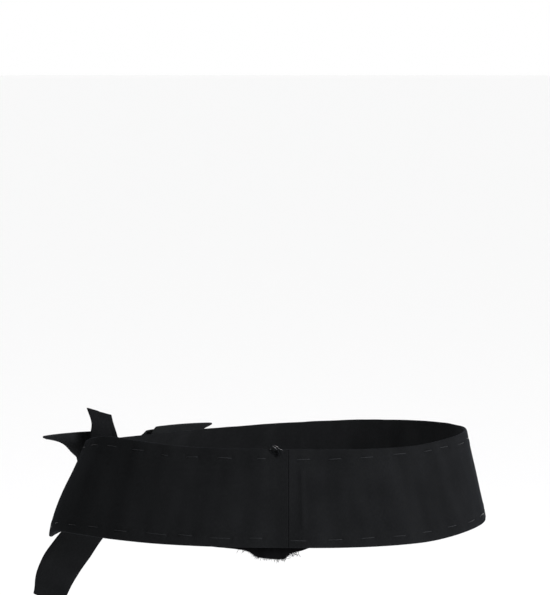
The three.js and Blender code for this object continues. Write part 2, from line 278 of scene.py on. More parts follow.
def band_surface(turn, height):
    turn, height = np.broadcast_arrays(np.asarray(turn, float), np.asarray(height, float))
    half = BAND_HEIGHT / 2
    rise = [half * side + EDGE_WAVE * curve(BAND_STATIONS, edge, turn, 360)
            for side, edge in ((1, TOP), (-1, BOTTOM))]
    top = ring_point(turn, TOP_WIDTH, TOP_DEPTH, HIP_SHIFT, rise[0])
    bottom = ring_point(turn, BOTTOM_WIDTH, BOTTOM_DEPTH, -HIP_SHIFT, rise[1])
    bulge = BULGE_SCALE * height * (1 - height) ** 2
    swell = SIDE_SWELL * curve(BAND_STATIONS, SWELL, turn, 360) * bulge
    outwards = top * [1, 1, 0]
    outwards /= np.linalg.norm(outwards, axis=-1, keepdims=True)
    return lerp(bottom, top, height[..., None]) + outwards * swell[..., None]


def normal_of(surface, u, v):
    du = surface(u + SLOPE_STEP, v) - surface(u - SLOPE_STEP, v)
    dv = surface(u, v + SLOPE_STEP) - surface(u, v - SLOPE_STEP)
    normal = np.cross(du, dv)
    return normal / np.linalg.norm(normal, axis=-1, keepdims=True)


def back_turn(side, height):
    """The turn at which the band's back, at a height, lies a given way to the wearer's right."""
    shift = lerp(-HIP_SHIFT, HIP_SHIFT, height)
    return np.degrees(np.arctan2(side - shift, lerp(BOTTOM_DEPTH, TOP_DEPTH, height) / 2))


def strip_turn(share, height):
    """The turn at a share of the way round the band, from one side of the upright seam to the other."""
    start = back_turn(SEAM_SIDE + SEAM_SLIT / 2, height)
    return lerp(start, back_turn(SEAM_SIDE - SEAM_SLIT / 2, height) + 360, share)


def strip_surface(share, height):
    return band_surface(strip_turn(share, height), height)


knot_origin = band_surface(KNOT_TURN, 0.5)
out_axis = normal_of(band_surface, KNOT_TURN, 0.5)
left_axis = (band_surface(KNOT_TURN + SLOPE_STEP, 0.5) - knot_origin) * [1, 1, 0]
left_axis /= np.linalg.norm(left_axis)
up_axis = np.cross(out_axis, left_axis)
up_axis /= np.linalg.norm(up_axis)


def bow_point(reach, rise, off):
    reach, rise, off = np.broadcast_arrays(*(np.asarray(x, float) for x in (reach, rise, off)))
    angle = reach / BOW_BEND
    radius = BOW_BEND + off
    return (
        knot_origin
        + out_axis * (radius * np.cos(angle) - BOW_BEND)[..., None]
        + left_axis * (radius * np.sin(angle))[..., None]
        + up_axis * rise[..., None]
    )


# Meshes.
def lengths(points, axis):
    """Distances along a grid of points, from its first row or column."""
    step = np.linalg.norm(np.diff(points, axis=axis), axis=-1)
    start = np.zeros_like(np.take(step, [0], axis=axis))
    return np.concatenate([start, np.cumsum(step, axis=axis)], axis=axis)


def patch_areas(points):
    """The areas of a grid's patches."""
    one, other = points[1:, 1:] - points[:-1, :-1], points[1:, :-1] - points[:-1, 1:]
    return np.linalg.norm(np.cross(one, other), axis=-1) / 2


def make_object(name, points, faces, uvs, edge_highlight=None):
    """A smooth object from points in millimetres, with UVs in millimetres along and across."""
    mesh = bpy.data.meshes.new(name)
    mesh.from_pydata((points * METRES).tolist(), [], faces)
    layer = mesh.uv_layers.new(name="cloth")
    layer.data.foreach_set("uv", np.asarray(uvs, np.float32).reshape(-1))
    # a painted highlight along the cloth's edges, as a share at each point
    if edge_highlight is not None:
        attribute = mesh.attributes.new("edge_highlight", "FLOAT", "POINT")
        attribute.data.foreach_set("value", edge_highlight.astype(np.float32))
    mesh.polygons.foreach_set("use_smooth", [True] * len(mesh.polygons))
    mesh.update()
    made = bpy.data.objects.new(name, mesh)
    bpy.context.scene.collection.objects.link(made)
    return made


def rounding(edge, radius):
    """The share of a wall's thickness that it has at a distance from its round edge."""
    return np.sqrt(1 - (1 - np.clip(edge / radius, 0, 1)) ** 2)


cut_sizes = {}


def patch_corners(grid):
    """The four corners of each of a grid's patches."""
    return np.stack([grid[:-1, :-1], grid[1:, :-1], grid[1:, 1:], grid[:-1, 1:]], 2)


def wall(name, surface, us, vs, thickness, outer_relief, inner_relief=None, ring=False, middle=0.0,
         end_radius=None):
    """A sheet of cloth with round edges on a surface, its two faces moved out by their reliefs.

    A relief is a function of the grid's u and v and of the lengths along both. middle moves the
    sheet along the normal. end_radius is the radius of its first and last row.
    """
    u, v = np.meshgrid(us, vs, indexing="ij")
    points, normals = surface(u, v), normal_of(surface, u, v)
    along_u, along_v = lengths(points, 0), lengths(points, 1)
    edge = np.minimum(along_v, along_v[:, -1:] - along_v)
    half = thickness / 2
    rounded = half * rounding(edge, half)
    if not ring:
        end = np.minimum(along_u, along_u[-1:] - along_u)
        rounded = np.minimum(rounded, half * rounding(end, end_radius or half))
        edge = np.minimum(edge, end)
    outer = outer_relief(u, v, along_u, along_v)
    inner = inner_relief(u, v, along_u, along_v) if inner_relief else outer
    front = points + normals * (middle + rounded + outer)[..., None]
    back = points + normals * (middle - rounded + inner)[..., None]
    rows, columns = edge.shape
    border = np.zeros((rows, columns), bool)
    border[:, [0, -1]] = True
    if not ring:
        border[[0, -1], :] = True
    front[border] = back[border] = (front[border] + back[border]) / 2
    front_index = np.arange(rows * columns).reshape(rows, columns)
    back_index = front_index.copy()
    back_index[~border] = rows * columns + np.arange((~border).sum())
    uv = np.stack([along_u[:, [columns // 2]] + 0 * along_v, along_v], -1)
    if ring:
        front_index, back_index = (np.vstack([x, x[:1]]) for x in (front_index, back_index))
        last = uv[-1:] + (uv[-1:] - uv[-2:-1])
        uv = np.concatenate([uv, last])
    faces, face_uv = patch_corners(front_index).reshape(-1, 4), patch_corners(uv).reshape(-1, 4, 2)
    back_faces = patch_corners(back_index).reshape(-1, 4)
    # painted highlight: the share rises towards each edge of the cloth
    highlight_share = np.exp(-edge / HIGHLIGHT_WIDTH)
    made = make_object(
        name,
        np.concatenate([front.reshape(-1, 3), back[~border]]),
        np.concatenate([faces, back_faces[:, ::-1]]).tolist(),
        np.concatenate([face_uv, face_uv[:, ::-1]]),
        np.concatenate([highlight_share.reshape(-1), highlight_share[~border]]),
    )
    cut_sizes[name] = (along_v[:, -1].max(), along_u[-1].max(), patch_areas(points).sum())
    return made


def edged(low, high, step, fine=WALL_STEPS):
    """Even steps from low to high, with finer ones at both ends. All in one unit of length."""
    inner = np.linspace(low + fine[-1], high - fine[-1], max(2, round((high - low) / step)))
    ends = np.array(fine[:-1])
    return np.concatenate([low + ends, inner, high - ends[::-1]])


ASLANT = (0.31, 0.17, 0.93)  # a direction that no thread follows
TUBE_END = 0.5  # the radius at a thread's ends, as a share


def tube(path, radius, sides=6, taper=1.0):
    """Points, faces and UVs of a closed tube along a path. taper is the far end's share of radius."""
    path = np.asarray(path, float)
    tangent = np.gradient(path, axis=0)
    tangent /= np.linalg.norm(tangent, axis=1, keepdims=True)
    side = np.cross(tangent, ASLANT)
    side /= np.linalg.norm(side, axis=1, keepdims=True)
    other = np.cross(tangent, side)
    angle = np.linspace(0, 2 * math.pi, sides, endpoint=False)
    radii = radius * np.linspace(1, taper, len(path))
    radii[[0, -1]] *= TUBE_END
    circle = side[:, None] * np.cos(angle)[:, None] + other[:, None] * np.sin(angle)[:, None]
    points = path[:, None] + circle * radii[:, None, None]
    index = np.arange(len(path) * sides).reshape(len(path), sides)
    index = np.hstack([index, index[:, :1]])
    faces = np.stack([index[:-1, :-1], index[:-1, 1:], index[1:, 1:], index[1:, :-1]], 2)
    length = lengths(path, 0)
    uv = np.stack(np.meshgrid(length, np.linspace(0, 1, sides + 1), indexing="ij"), -1)
    uvs = np.stack([uv[:-1, :-1], uv[:-1, 1:], uv[1:, 1:], uv[1:, :-1]], 2)
    return points.reshape(-1, 3), faces.reshape(-1, 4), uvs.reshape(-1, 4, 2), index


def tubes(name, paths, radius, sides=6, taper=1.0):
    """One object of many closed tubes. Each end is closed by one flat face."""
    points, faces, uvs = [], [], []
    start = 0
    for path in paths:
        p, f, uv, index = tube(path, radius, sides, taper)
        points.append(p)
        faces.extend((f + start).tolist())
        uvs.extend(uv.reshape(-1, 2).tolist())
        for end_face in (index[0, :-1][::-1], index[-1, :-1]):
            faces.append((end_face + start).tolist())
            uvs.extend([[0, 0]] * sides)
        start += len(p)
    return make_object(name, np.concatenate(points), faces, uvs)


# Materials. Sizes of grain are millimetres along the cloth, then across it.
NOISE_RANGE = (0.3, 0.7)
STREAKS, SLUBS, FIBRES = (14, 90), (9, 0.6), (0.5, 2.4)
BLOTCHES_PER_METRE = 38
FUZZ_PER_METRE = 900
WEAVE_DEPTH = 0.00012
TWIST_DEPTH = 0.0001
TWIST_PITCH = 0.9
RUBBING = (900, 900, 90)
RUBBED_DEPTH = 0.00005


class Nodes:
    """A short way to write a node material."""

    def __init__(self, name):
        self.material = bpy.data.materials.new(name)
        self.material.use_nodes = True
        self.tree = self.material.node_tree
        self.shader = self.tree.nodes["Principled BSDF"]

    def node(self, kind, inputs=(), output=0, **settings):
        made = self.tree.nodes.new(kind)
        for key, value in settings.items():
            setattr(made, key, value)
        for key, value in dict(inputs).items():
            self.feed(made.inputs[key], value)
        return made.outputs[output]

    def feed(self, socket, value):
        if isinstance(value, bpy.types.NodeSocket):
            self.tree.links.new(value, socket)
        else:
            socket.default_value = value

    def math(self, operation, a, b=0.0, c=0.0):
        return self.node("ShaderNodeMath", {0: a, 1: b, 2: c}, operation=operation)

    def scaled(self, vector, scale):
        return self.node("ShaderNodeMapping", {"Vector": vector, "Scale": scale})

    def noise(self, vector, scale, detail=3.0):
        return self.node(
            "ShaderNodeTexNoise", {"Vector": vector, "Scale": scale, "Detail": detail}, output="Fac"
        )

    def grain(self, uv, size, detail):
        """Noise stretched along the cloth and across it, by a size in millimetres."""
        along, across = size
        return self.noise(self.scaled(uv, (1 / along, 1 / across, 1)), 1.0, detail)

    def tinted(self, tone, shade):
        """A colour times a shade."""
        return self.node(
            "ShaderNodeVectorMath", {0: tone, "Scale": shade}, output="Vector", operation="SCALE"
        )

    def bump(self, height, strength, depth):
        inputs = {"Strength": strength, "Distance": depth, "Height": height}
        return self.node("ShaderNodeBump", inputs, output="Normal")

    def varied(self, noise, low, high):
        """A noise's usual values brought to a range."""
        return self.between(noise, *NOISE_RANGE, low, high)

    def between(self, value, low, high, to_low, to_high):
        return self.node(
            "ShaderNodeMapRange",
            {"Value": value, "From Min": low, "From Max": high, "To Min": to_low, "To Max": to_high},
        )

    def set(self, **values):
        for key, value in values.items():
            self.feed(self.shader.inputs[key.replace("_", " ")], value)


def cloth_material(name, tone, sheen, bands, pitch=0.55):
    """Matte woven cloth. The pitch of its threads is in millimetres, and bands is how far its tone
    changes in streaks across the strip."""
    n = Nodes(name)
    uv = n.node("ShaderNodeUVMap", uv_map="cloth")
    place = n.node("ShaderNodeTexCoord", output="Object")
    split = n.tree.nodes.new("ShaderNodeSeparateXYZ")
    n.feed(split.inputs[0], uv)
    warp = n.math("SINE", n.math("MULTIPLY", split.outputs["X"], math.pi / pitch))
    weft = n.math("SINE", n.math("MULTIPLY", split.outputs["Y"], math.pi / pitch))
    warp_rise, weft_rise = n.math("MULTIPLY", warp, warp), n.math("MULTIPLY", weft, weft)
    over = n.between(n.math("MULTIPLY", warp, weft), -0.25, 0.25, 0.0, 1.0)
    threads = n.node("ShaderNodeMix", {"Factor": over, 2: warp_rise, 3: weft_rise})
    streaks, slubs = n.grain(uv, STREAKS, 2.0), n.grain(uv, SLUBS, 2.0)
    fibres = n.grain(uv, FIBRES, 3.0)
    blotches = n.noise(place, BLOTCHES_PER_METRE)
    edge_highlight = n.node("ShaderNodeAttribute", output="Fac", attribute_name="edge_highlight")
    shade = n.math("MULTIPLY", n.varied(streaks, 1 - bands, 1 + bands), n.varied(blotches, 0.88, 1.12))
    shade = n.math("MULTIPLY", shade, n.between(fibres, 0.3, 0.75, 0.85, 1.2))
    shade = n.math("MULTIPLY", shade, n.between(threads, 0.0, 1.0, 0.7, 1.15))
    # painted highlight: the tone rises by up to a tenth at the cloth's edges
    shade = n.math("MULTIPLY", shade, n.between(edge_highlight, 0.0, 1.0, 1.0, 1.1))
    height = n.math("ADD", threads, n.math("MULTIPLY", slubs, 0.8))
    height = n.math("ADD", height, n.math("MULTIPLY", fibres, 0.5))
    n.set(
        Base_Color=n.tinted(tone, shade),
        Roughness=n.varied(fibres, 0.78, 0.94),
        Specular_IOR_Level=0.0,
        Sheen_Weight=sheen,
        Sheen_Roughness=0.45,
        Sheen_Tint=(0.75, 0.8, 0.9, 1.0),
        Normal=n.bump(height, 0.35, WEAVE_DEPTH),
    )
    return n.material


def thread_material(name, tone, sheen, gloss):
    """Twisted sewing thread."""
    n = Nodes(name)
    uv = n.node("ShaderNodeUVMap", uv_map="cloth")
    split = n.tree.nodes.new("ShaderNodeSeparateXYZ")
    n.feed(split.inputs[0], uv)
    along = n.math("MULTIPLY", split.outputs["X"], 2 * math.pi / TWIST_PITCH)
    round_it = n.math("MULTIPLY", split.outputs["Y"], 4 * math.pi)
    twist = n.between(n.math("SINE", n.math("ADD", along, round_it)), -1.0, 1.0, 0.0, 1.0)
    fuzz = n.noise(n.node("ShaderNodeTexCoord", output="Object"), FUZZ_PER_METRE)
    shade = n.math("MULTIPLY", n.between(twist, 0.0, 1.0, 0.6, 1.2), n.varied(fuzz, 0.7, 1.3))
    n.set(
        Base_Color=n.tinted(tone, shade),
        Roughness=n.varied(fuzz, 0.5, 0.7),
        Specular_IOR_Level=gloss,
        Sheen_Weight=sheen,
        Sheen_Roughness=0.4,
        Normal=n.bump(twist, 0.5, TWIST_DEPTH),
    )
    return n.material


def metal_material(name, tone):
    """Black enamelled strip with rubbed patches."""
    n = Nodes(name)
    place = n.node("ShaderNodeTexCoord", output="Object")
    rubbed = n.noise(n.scaled(place, RUBBING), 1.0)
    n.set(
        Base_Color=n.tinted(tone, n.between(rubbed, 0.35, 0.75, 0.8, 1.8)),
        Metallic=0.6,
        Roughness=n.varied(rubbed, 0.35, 0.6),
        Normal=n.bump(rubbed, 0.2, RUBBED_DEPTH),
    )
    return n.material


def dress(made, material, node_names=()):
    made.data.materials.clear()
    made.data.materials.append(material)
    if node_names:
        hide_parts(*node_names)
    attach(made, "root")
    return made


def declare_sheet(made, flat=None):
    """Reads a cloth piece's flat size, its own greatest width and length or a given one, and keeps
    nothing.
    """
    width, length, area = cut_sizes[made.name]
    width, length = flat or (width, length)


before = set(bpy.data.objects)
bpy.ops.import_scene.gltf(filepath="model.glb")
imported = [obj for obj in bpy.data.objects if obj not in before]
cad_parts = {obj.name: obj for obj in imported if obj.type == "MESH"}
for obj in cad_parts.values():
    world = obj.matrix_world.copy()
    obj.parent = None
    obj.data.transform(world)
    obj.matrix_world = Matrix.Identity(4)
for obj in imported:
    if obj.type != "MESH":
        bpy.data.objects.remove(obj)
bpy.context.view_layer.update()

belt_cloth = cloth_material("belt_cloth_black", (0.0040, 0.0042, 0.0043), sheen=0.012, bands=0.13)
# painted light: the loops and the knot get a copy of the ribbon cloth about twice as light as the tails'
# copy, standing in for light falling on the loops
lit_bow_cloth = cloth_material("bow_cloth_painted_light", (0.0080, 0.0085, 0.0086), sheen=0.015, bands=0.1)
# painted shade: the tails, cut from the same ribbon as the loops, get a darker copy of it, standing in for
# the shadow the wearer's body casts on them
shaded_tail_cloth = cloth_material("tail_cloth_painted_shade", (0.0036, 0.0038, 0.0039), sheen=0.0, bands=0.1)
# painted shade: the underlap and its frayed threads get a copy of the cloth at half the band's tone,
# standing in for the shade behind the band
shaded_underlap_cloth = cloth_material("underlap_cloth_painted_shade", (0.002, 0.002, 0.0021), sheen=0.0, bands=0.2)
thread = thread_material("basting_thread", (0.0068, 0.0073, 0.0078), sheen=0.012, gloss=0.07)
loose_thread = thread_material("loose_thread", (0.0035, 0.0038, 0.0042), sheen=0.0, gloss=0.02)
hook_metal = metal_material("hook_bar_black", (0.012, 0.012, 0.013))

# The band.
dense_shares = np.linspace(0, 1, 4001)
ROWS = {"top": 1 - STITCH_INSET / BAND_HEIGHT, "bottom": STITCH_INSET / BAND_HEIGHT}
row_arcs = {name: lengths(strip_surface(dense_shares, height), 0) for name, height in ROWS.items()}


def stitch_spans(row, measured, seed):
    """Each stitch of a row all the way round: its start and end from the seam, and its rise."""
    whole = row_arcs[row][-1]
    random = np.random.RandomState(seed)
    spans = [(a % whole, b % whole, rise) for a, b, rise in measured]
    first, last = measured[-1][0] + STITCH_PITCH, whole + measured[0][0] - STITCH_PITCH
    count = round((last - first) / STITCH_PITCH)
    for at in np.linspace(first, last, count + 1):
        begin = at + random.uniform(-1.4, 1.4)
        end = begin + STITCH_LENGTH + random.uniform(-1.6, 1.6)
        spans.append((begin, end, random.uniform(-0.6, 0.6)))
    return sorted(spans)


SPANS = {"top": stitch_spans("top", TOP_STITCHES, 3), "bottom": stitch_spans("bottom", BOTTOM_STITCHES, 5)}


def share_at(row, distance):
    return np.interp(distance, row_arcs[row], dense_shares)


def along_middle(along_u):
    """Distances along a strip, measured on its middle line."""
    return along_u[:, [along_u.shape[1] // 2]] + 0 * along_u


def band_relief(u, v, along_u, along_v):
    """The band's outer face: slow waves, turned-in edges, puckers at the stitches and a crease."""
    middle = along_middle(along_u)
    whole = middle[-1, 0]
    from_edge = np.minimum(along_v, along_v[:, -1:] - along_v)
    up = v * BAND_HEIGHT
    slack = lerp(MIDDLE_SLACK, 1, np.exp(-from_edge / EDGE_SLACK_REACH))
    relief = slack * ripples(middle, BAND_WAVES, 11)
    relief += ripples(middle + 0.6 * along_v, SLANTED_WAVES, 12)
    relief += TURNED_EDGE_STEP * smoothstep(-from_edge, -TURNED_EDGE - 1, -TURNED_EDGE + 1)
    for row, height in ROWS.items():
        relief -= GROOVE_DEPTH * hump(up - height * BAND_HEIGHT, 0, GROOVE_WIDTH)
        for begin, end, rise in SPANS[row]:
            across = up - height * BAND_HEIGHT - rise
            for share, sign in zip(share_at(row, np.array([begin, end])), (-1, 1)):
                away = (u - share) * row_arcs[row][-1]
                puff = hump(away, sign * PUFF_AT, PUFF_LENGTH) * hump(across, 0, PUFF_WIDTH)
                relief -= PUCKER_DEPTH * hump(away, 0, PUCKER_LENGTH) * hump(across, 0, PUCKER_WIDTH)
                relief += PUFF_HEIGHT * puff
    sewn = smoothstep(v, 0.16, 0.26) * smoothstep(-v, -0.86, -0.72)
    relief += RIDGE_HEIGHT * hump(middle, RIDGE_AT, RIDGE_WIDTH) * sewn
    relief -= DIP_DEPTH * hump(middle, DIP_AT, DIP_WIDTH)
    relief += FOLD_HEIGHT * np.exp(-(whole - middle) / FOLD_WIDTH)
    crease_along, crease_up = middle - CREASE_ALONG, up - CREASE_UP
    cosine, sine = math.cos(CREASE_SLOPE), math.sin(CREASE_SLOPE)
    across_crease = crease_along * cosine + crease_up * sine
    down_crease = hump(crease_along * sine - crease_up * cosine, 0, CREASE_LENGTH)
    relief -= CREASE_DEPTH * hump(across_crease, 0, CREASE_WIDTH) * down_crease
    relief += CREASE_LIP * hump(across_crease, LIP_AT, LIP_WIDTH) * down_crease
    # pulls towards the bow, which is sewn on at the wearer's left front
    from_knot = strip_turn(u, v) - KNOT_TURN
    folds = np.sin(2 * math.pi * PULL_FOLDS * along_v / BAND_HEIGHT + from_knot * 0.12)
    relief += PULL_HEIGHT * hump(from_knot, 0, PULL_REACH) * folds
    return relief


def band_lining(u, v, along_u, along_v):
    """The band's inner face: a lining with its own slack."""
    relief = ripples(along_middle(along_u) + 0.5 * along_v, LINING_WAVES, 21)
    return np.clip(relief, -LINING_LIMIT, LINING_LIMIT)


band_length = float(row_arcs["top"][-1])
band_us = edged(0, band_length, 1.15, SEAM_STEPS) / band_length
band_vs = edged(0, BAND_HEIGHT, BAND_STEP) / BAND_HEIGHT
band = wall(
    "band_cloth", strip_surface, band_us, band_vs, BAND_WALL, band_relief, band_lining,
    middle=-BAND_WALL / 2, end_radius=SEAM_RADIUS,
)
dress(band, belt_cloth, ["band"])
declare_sheet(band)


# The basting stitches. Along a stitch, then how high its thread lies above the cloth.
STITCH_PROFILE = np.array([
    (-0.04, -1.3),
    (0.0, -0.7),
    (0.07, -0.1),
    (0.2, 0.18),
    (0.35, 0.26),
    (0.5, STITCH_LIFT),
    (0.65, 0.26),
    (0.8, 0.18),
    (0.93, -0.1),
    (1.0, -0.7),
    (1.04, -1.3),
])


def stitch_path(row, begin, end, rise, random):
    """A stitch that comes out of the cloth, lies on it and goes back in."""
    share, lift = STITCH_PROFILE[:, 0], STITCH_PROFILE[:, 1]
    shares = share_at(row, begin + (end - begin) * share)
    slope = random.uniform(-0.5, 0.5)
    heights = ROWS[row] + (rise + slope * (share - 0.5)) / BAND_HEIGHT
    points, normals = strip_surface(shares, heights), normal_of(strip_surface, shares, heights)
    return points + normals * lift[:, None]


random = np.random.RandomState(8)
for row in ("top", "bottom"):
    paths = [stitch_path(row, begin, end, rise, random) for begin, end, rise in SPANS[row]]
    dress(tubes(f"basting_stitches_{row}", paths, THREAD_RADIUS), thread)


# Behind the seam.
def underlap_surface(share, rise):
    share, rise = np.broadcast_arrays(np.asarray(share, float), np.asarray(rise, float))
    lower, drop, upper, depth = (curve(UNDERLAP_STATIONS, x, share) for x in (LOWER, DROP, UPPER, DEPTH))
    lower = lower - UNDERLAP_DROP * drop / (BAND_HEIGHT / 2)
    height = 0.5 + lerp(lower, upper, rise) / 2
    side = SEAM_SIDE + UNDERLAP_TO_RIGHT - (UNDERLAP_TO_LEFT + UNDERLAP_TO_RIGHT) * share
    turn = back_turn(side, height)
    inwards = BAND_WALL + CLEARANCE + UNDERLAP_WALL / 2 + (HOOK_BAR_WALL + CLEARANCE) * depth
    return band_surface(turn, height) - normal_of(band_surface, turn, height) * inwards[..., None]


def underlap_relief(u, v, along_u, along_v):
    """Slack waves along the raw lower edge."""
    return smoothstep(-v, -0.25, 0.0) * ripples(along_u, [(13, 0.3), (7, 0.2)], 31)


underlap_length = UNDERLAP_TO_LEFT + UNDERLAP_TO_RIGHT
underlap_height = 58
underlap = wall(
    "underlap_cloth_piece",
    underlap_surface,
    edged(0, underlap_length, BAND_STEP) / underlap_length,
    edged(0, underlap_height, UNDERLAP_STEP) / underlap_height,
    UNDERLAP_WALL,
    underlap_relief,
)
dress(underlap, shaded_underlap_cloth, ["underlap"])
declare_sheet(underlap)


def frayed_ends(count, seed):
    """Short threads that hang from the underlap's raw lower edge."""
    random = np.random.RandomState(seed)
    paths = []
    for share in np.sort(random.uniform(FRAY_FROM, FRAY_TO, count)):
        start = underlap_surface(share, 0.012)
        length = random.uniform(0.8, 2.6) * (1.4 if random.rand() < 0.15 else 1)
        lean = np.array([random.uniform(-0.7, 0.7), random.uniform(-0.35, 0.25), -1.0])
        bend = np.array([random.uniform(-0.8, 0.8), random.uniform(-0.3, 0.3), 0.0])
        t = np.linspace(0, 1, 5)[:, None]
        paths.append(start + length * (lean * t + 0.5 * bend * t**2))
    return paths


def tuft(middle, count, spread, length, seed):
    """Short threads that lie every way about a point."""
    random = np.random.RandomState(seed)
    paths = []
    for _ in range(count):
        start = np.asarray(middle) + random.normal(0, 1, 3) * spread
        lean = random.normal(0, 1, 3) * [1.0, 0.4, 0.5] + [0, 0, -0.2]
        bend = random.normal(0, 0.8, 3)
        t = np.linspace(0, 1, 7)[:, None]
        paths.append(start + length * random.uniform(0.6, 1.2) * (lean * t + bend * (t**2 - t**3)))
    return paths


fray = frayed_ends(150, 41)
right_corner = underlap_surface(0.185, 0.03) + [1.0, -0.5, -2.4]
fray += tuft(right_corner, 26, [1.7, 0.5, 0.7], 2.2, 43)
threads = tubes("underlap_frayed_threads", fray, FRAY_RADIUS, sides=5, taper=0.4)
dress(threads, shaded_underlap_cloth, ())

for material_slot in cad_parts["hook_bar"].material_slots:
    material_slot.material = hook_metal


def tangle(side, height, count, size, seed):
    """Loose loops of thread left on the band's outer face."""
    random = np.random.RandomState(seed)
    turn = back_turn(side, height)
    middle, normal = band_surface(turn, height), normal_of(band_surface, turn, height)
    right, up = np.array([1.0, 0.0, 0.0]), np.array([0.0, 0.0, 1.0])
    t = np.linspace(0, 1, 26)
    paths = []
    for _ in range(count):
        phase, turns = random.uniform(0, 2 * math.pi), random.uniform(0.8, 1.6)
        wide, tall = size * random.uniform(0.5, 1.0), size * random.uniform(0.35, 0.8)
        tilt = random.uniform(-0.9, -0.3)
        angle = 2 * math.pi * turns * t + phase
        a, b = wide * np.cos(angle), tall * np.sin(angle)
        across = a * math.cos(tilt) - b * math.sin(tilt)
        rise = a * math.sin(tilt) + b * math.cos(tilt)
        off = 0.5 + 0.5 * size * random.uniform(0.3, 0.6) * (1 + np.sin(3 * math.pi * t + phase))
        shift = random.normal(0, 0.3, 2) * size
        path = right * (across + shift[0])[:, None] + up * (rise + shift[1])[:, None]
        paths.append(middle + path + normal * off[:, None])
    return paths


knots = tangle(side=3.0, height=1 - 2 / BAND_HEIGHT, count=7, size=3.4, seed=51)
dress(tubes("loose_thread_ends", knots, FINE_THREAD_RADIUS, sides=5), loose_thread)


# The bow.
LOOP_ROOT_OFF = CLEARANCE + BOW_WALL + CLEARANCE + KNOT_DEPTH / 2 - KNOT_WALL / 2
KNOT_BACK = CLEARANCE + BOW_WALL + CLEARANCE
TAIL_OFF = CLEARANCE + BOW_WALL / 2
LOOP_EXIT_REACH = KNOT_LENGTH / 2 + LOOP_EXIT


def loop_surface(side, column, reach):
    def surface(fold, across):
        fold, across = np.broadcast_arrays(np.asarray(fold, float), np.asarray(across, float))
        free = 1 - LOOP_ROOT_SHARE
        bent = np.minimum(np.abs(fold) / free, 1)
        inside = np.clip((np.abs(fold) - free) / LOOP_ROOT_SHARE, 0, 1)
        length = reach * curve(LOOP_STATIONS, column, across) - LOOP_EXIT_REACH
        distance = (LOOP_EXIT_REACH - (LOOP_EXIT_REACH - LOOP_ROOT_REACH) * inside
                    + length * (1 - bent * bent))
        spread = smoothstep(distance, LOOP_EXIT_REACH, LOOP_EXIT_REACH + LOOP_OPENING)
        half_width = lerp(LOOP_ROOT_HALF_WIDTH, LOOP_HALF_WIDTH, spread)
        stagger = -np.sign(fold) * bent * spread * LOOP_STAGGER
        rise = across * (half_width + LOOP_FLARE * spread * distance) + stagger
        fullness = LOOP_FULLNESS * curve(LOOP_STATIONS, FULL, across)
        half_gap = np.sign(fold) * bent * lerp(LOOP_ROOT_HALF_GAP, fullness, spread)
        pleat = PLEAT_DEPTH * np.cos(2 * math.pi * PLEAT_TURNS * across) * (1 - spread)
        return bow_point(side * distance, rise, LOOP_ROOT_OFF + LOOP_RISE * spread + half_gap + pleat)

    return surface


def hem_relief(edge, height, dip):
    """A hem of doubled cloth along each edge, and its line of sewing."""
    return height * smoothstep(-edge, -HEM - 0.4, -HEM + 0.6) - dip * hump(edge, HEM, SEWING_WIDTH)


def loop_relief(seed):
    """Gathers that fan out from the knot, a hem along each edge and slack in the middle."""
    def relief(u, v, along_u, along_v):
        near = np.clip(1 - np.abs(u), 0, 1)
        fan = np.exp(-near / 0.28) * smoothstep(near, 0.02, 0.12)
        gathers = fan * ripples(v, [(0.62, 0.55), (0.37, 0.4), (0.23, 0.2)], seed)
        edge = np.minimum(along_v, along_v[:, -1:] - along_v)
        hem = hem_relief(edge, 0.22, 0.18) * smoothstep(near, 0.1, 0.3)
        free = 4 * near * np.abs(u) * smoothstep(edge, 2, 12)
        slack = free * ripples(u + 0.4 * v, [(0.9, 0.35), (0.5, 0.21)], seed + 1)
        return gathers + hem + slack

    return relief


def ribbon_columns(step_share):
    """Places across a ribbon, from one edge at -1 to the other at 1."""
    return -1 + 2 * edged(0, 1, step_share, (0.0, 0.003, 0.008, 0.016, 0.028))


for name, side, column, reach, seed in (
    ("bow_loop_left", 1, LEFT, LOOP_LEFT_REACH, 61),
    ("bow_loop_right", -1, RIGHT, LOOP_RIGHT_REACH, 67),
):
    folds = -1 + 2 * edged(0, 1, 1 / 130, (0.0, 0.002, 0.005))
    made = wall(
        f"{name}_cloth", loop_surface(side, column, reach), folds, ribbon_columns(1 / 60), BOW_WALL,
        loop_relief(seed),
    )
    dress(made, lit_bow_cloth, [name])
    declare_sheet(made, (2 * (LOOP_HALF_WIDTH + LOOP_FLARE * reach), 2 * reach))


def tail_surface(stations, reach, rise):
    def surface(share, across):
        share, across = np.broadcast_arrays(np.asarray(share, float), np.asarray(across, float))
        return bow_point(
            reach * lerp(curve(stations, INNER_REACH, share), curve(stations, OUTER_REACH, share), across),
            rise * lerp(curve(stations, INNER_RISE, share), curve(stations, OUTER_RISE, share), across),
            TAIL_OFF + TAIL_LIFT * curve(stations, LIFT, share),
        )

    return surface


def tail_relief(seed):
    """Soft folds along the tail, loose towards its end, with a hem along each edge."""
    def relief(u, v, along_u, along_v):
        edge = np.minimum(along_v, along_v[:, -1:] - along_v)
        loose = smoothstep(u, 0.15, 0.8)
        folds = 0.7 * np.sin(v * 2 * math.pi * 1.1 + 0.6 * u + seed) + 0.25 * np.sin(v * 19 + u * 3)
        waves = ripples(along_u, [(31, 0.35), (19, 0.175)], seed)
        return loose * (folds + waves) + hem_relief(edge, 0.2, 0.16)

    return relief


